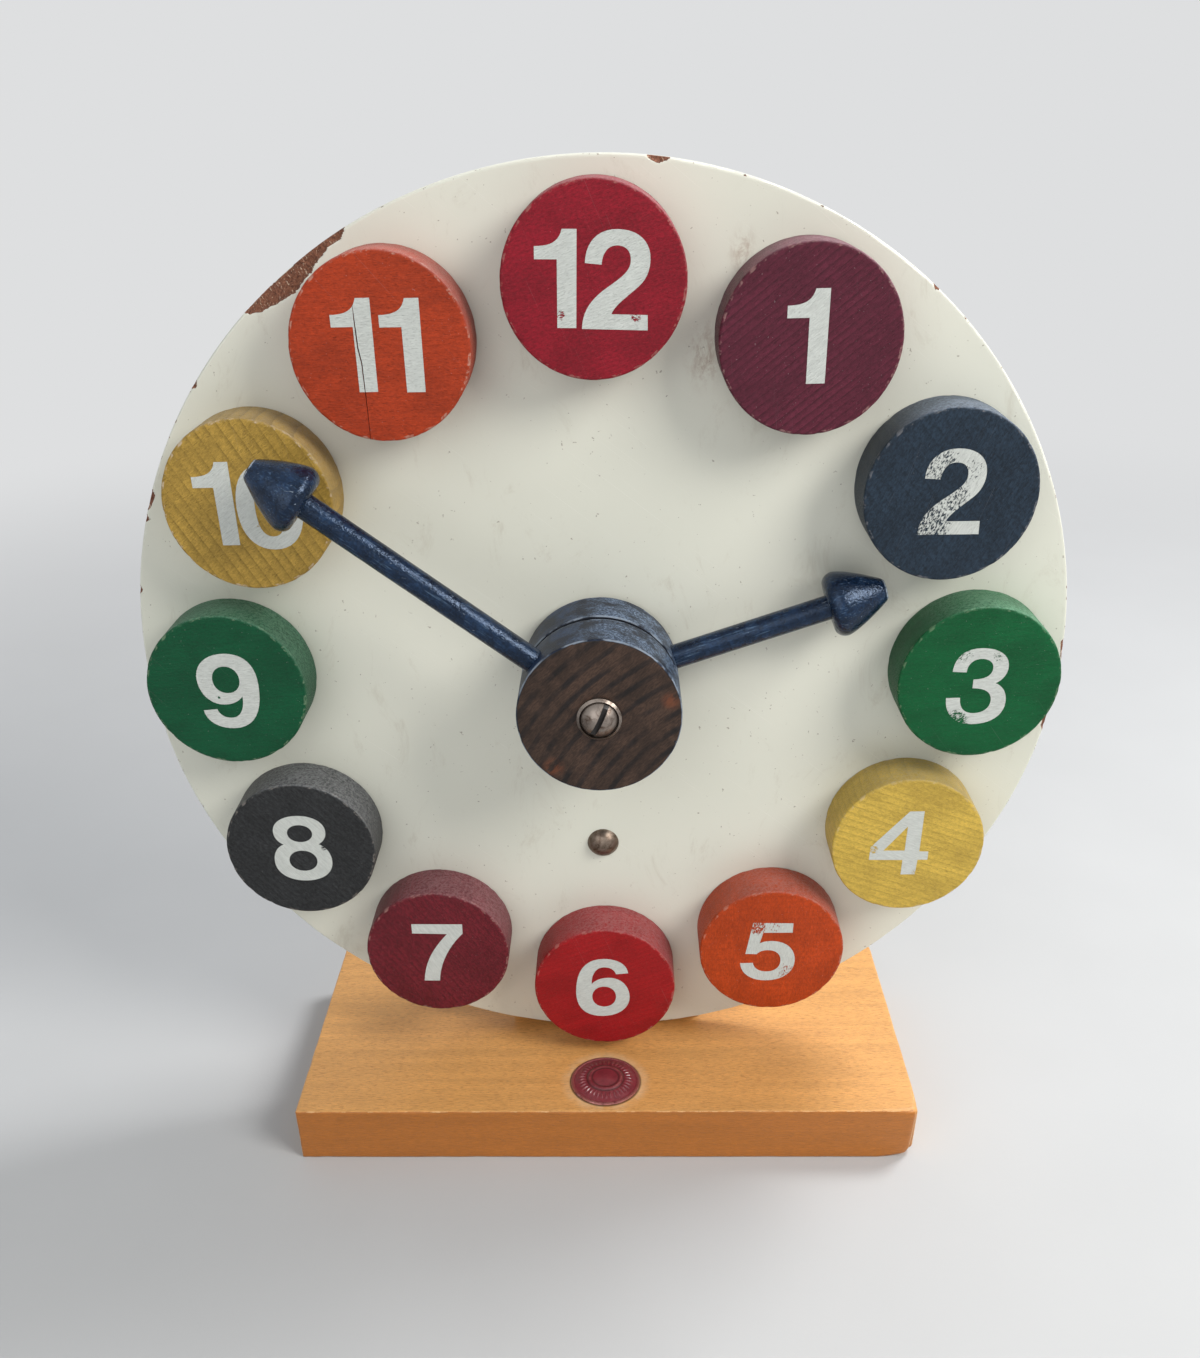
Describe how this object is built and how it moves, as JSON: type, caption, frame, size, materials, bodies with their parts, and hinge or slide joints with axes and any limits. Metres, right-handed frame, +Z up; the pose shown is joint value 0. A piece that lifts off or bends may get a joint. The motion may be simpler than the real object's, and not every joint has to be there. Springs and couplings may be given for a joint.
{
  "type": "geared teaching clock",
  "caption": "Wooden teaching clock: coloured number discs on a round dial, turned hands, and an open gear train that moves the hour hand with the minute hand.",
  "frame": {"origin": "middle of the base plank's underside", "axes": "+Z up, the dial faces -Y, +X towards the three"},
  "size_m": [0.25, 0.082, 0.269],
  "materials": {
    "base_wood": "satin clear lacquer, worn edges",
    "dial_paint": "cream satin paint on board, chipped edge",
    "crimson_stain": "stained, satin lacquer",
    "maroon_stain": "stained, satin lacquer",
    "charcoal_stain": "stained, satin lacquer",
    "green_stain": "stained, satin lacquer",
    "yellow_stain": "stained, satin lacquer",
    "orange_stain": "stained, satin lacquer",
    "hub_stain": "dark stain, worn lacquer",
    "hand_lacquer": "gloss blue-black lacquer, worn",
    "frame_wood": "bare planed wood",
    "gear_wood": "bare birch plywood",
    "steel": "aged nickel plate",
    "brass": "dull drawn tube",
    "badge_enamel": "red enamel on a domed tack"
  },
  "bodies": {
    "stand": {"base_plank": "base_wood", "back_post": "frame_wood", "lower_block": "frame_wood", "upper_block": "frame_wood", "dial_panel": "dial_paint", "disc_nails": "steel", "badge_tack": "badge_enamel", "base_screws": "steel", "post_screws": "steel", "intermediate_stud": "steel", "stud_washer": "steel", "stud_nut": "steel", "gear_washers": "steel", "dial_washer": "steel", "number_disc_1": "maroon_stain", "number_disc_2": "charcoal_stain", "number_disc_3": "green_stain", "number_disc_4": "yellow_stain", "number_disc_5": "orange_stain", "number_disc_6": "crimson_stain", "number_disc_7": "maroon_stain", "number_disc_8": "charcoal_stain", "number_disc_9": "green_stain", "number_disc_10": "yellow_stain", "number_disc_11": "orange_stain", "number_disc_12": "crimson_stain"},
    "minute_hand": {"minute_hub": "hub_stain", "minute_rod": "hand_lacquer", "minute_arrowhead": "hand_lacquer", "minute_arbor": "steel", "minute_pinion": "gear_wood", "cup_washer": "steel", "centre_screw": "steel"},
    "intermediate_gears": {"intermediate_wheel": "gear_wood", "intermediate_pinion": "gear_wood"},
    "hour_hand": {"hour_hub": "hub_stain", "hour_rod": "hand_lacquer", "hour_arrowhead": "hand_lacquer", "hour_sleeve": "brass", "hour_wheel": "gear_wood", "hub_washer": "steel"}
  },
  "joints": [
    {"name": "minute_turn", "type": "hinge", "parent": "stand", "child": "minute_hand", "pos_m": [0, 0, 0.144], "axis": [0, 1, 0], "continuous": true},
    {"name": "intermediate_turn", "type": "hinge", "parent": "stand", "child": "intermediate_gears", "pos_m": [0, 0, 0.08799], "axis": [0, 1, 0], "continuous": true},
    {"name": "hour_turn", "type": "hinge", "parent": "stand", "child": "hour_hand", "pos_m": [0, 0, 0.144], "axis": [0, 1, 0], "continuous": true}
  ],
  "couplings": [
    {"joint": "intermediate_turn", "follows": "minute_turn", "ratio": -0.33333},
    {"joint": "hour_turn", "follows": "minute_turn", "ratio": 0.083333}
  ]
}
